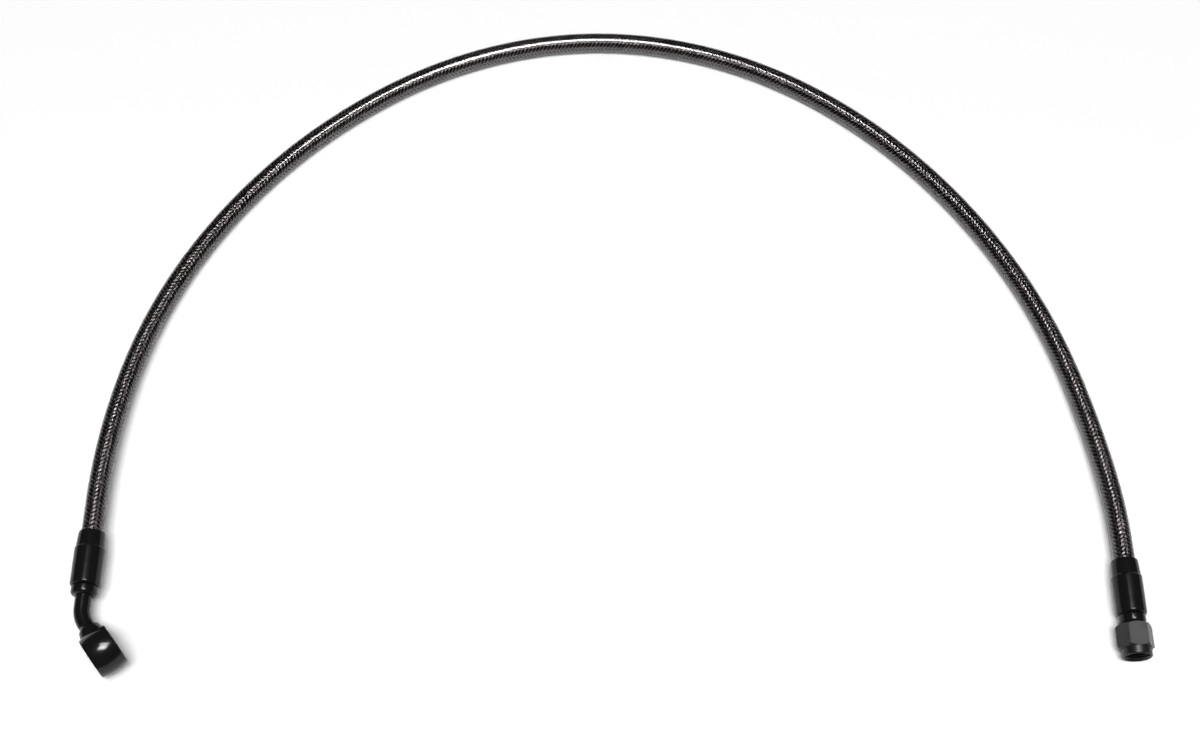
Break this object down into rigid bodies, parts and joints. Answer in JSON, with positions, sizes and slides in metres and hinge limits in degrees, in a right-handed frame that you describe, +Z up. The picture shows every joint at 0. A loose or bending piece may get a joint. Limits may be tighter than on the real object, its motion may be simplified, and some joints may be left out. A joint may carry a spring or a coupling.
{
  "type": "brake hose",
  "caption": "Braided brake hose in a clear cover, laid in a wide arc, with a bent banjo eye at one end and a straight swivel nut at the other.",
  "frame": {"origin": "on the table under the middle of the two end fittings' common box", "axes": "+X from the banjo end to the swivel end, +Y from the fittings into the hose's arc, +Z up from the table"},
  "size_m": [0.3734, 0.272, 0.0163],
  "materials": {
    "clear_cover": "glossy smoke-tinted clear hose cover",
    "steel_braid": "woven steel wire",
    "ptfe_liner": "milky fluoropolymer tube",
    "black_ferrule": "satin black plated crimp ferrule",
    "black_steel": "gloss black plated steel",
    "black_nut": "smooth black plated nut"
  },
  "bodies": {
    "hose": {"hose_cover": "clear_cover", "hose_braid": "steel_braid", "hose_liner": "ptfe_liner", "banjo_ferrule": "black_ferrule", "banjo_stem": "black_steel", "banjo_eye": "black_steel", "swivel_ferrule": "black_ferrule", "swivel_nipple": "black_steel"},
    "nut": {"swivel_nut": "black_nut"}
  },
  "joints": [
    {"name": "nut_swivel", "type": "hinge", "parent": "hose", "child": "nut", "pos_m": [0.1801, -0.01287, 0.0055], "axis": [0, 1, 0], "continuous": true}
  ]
}
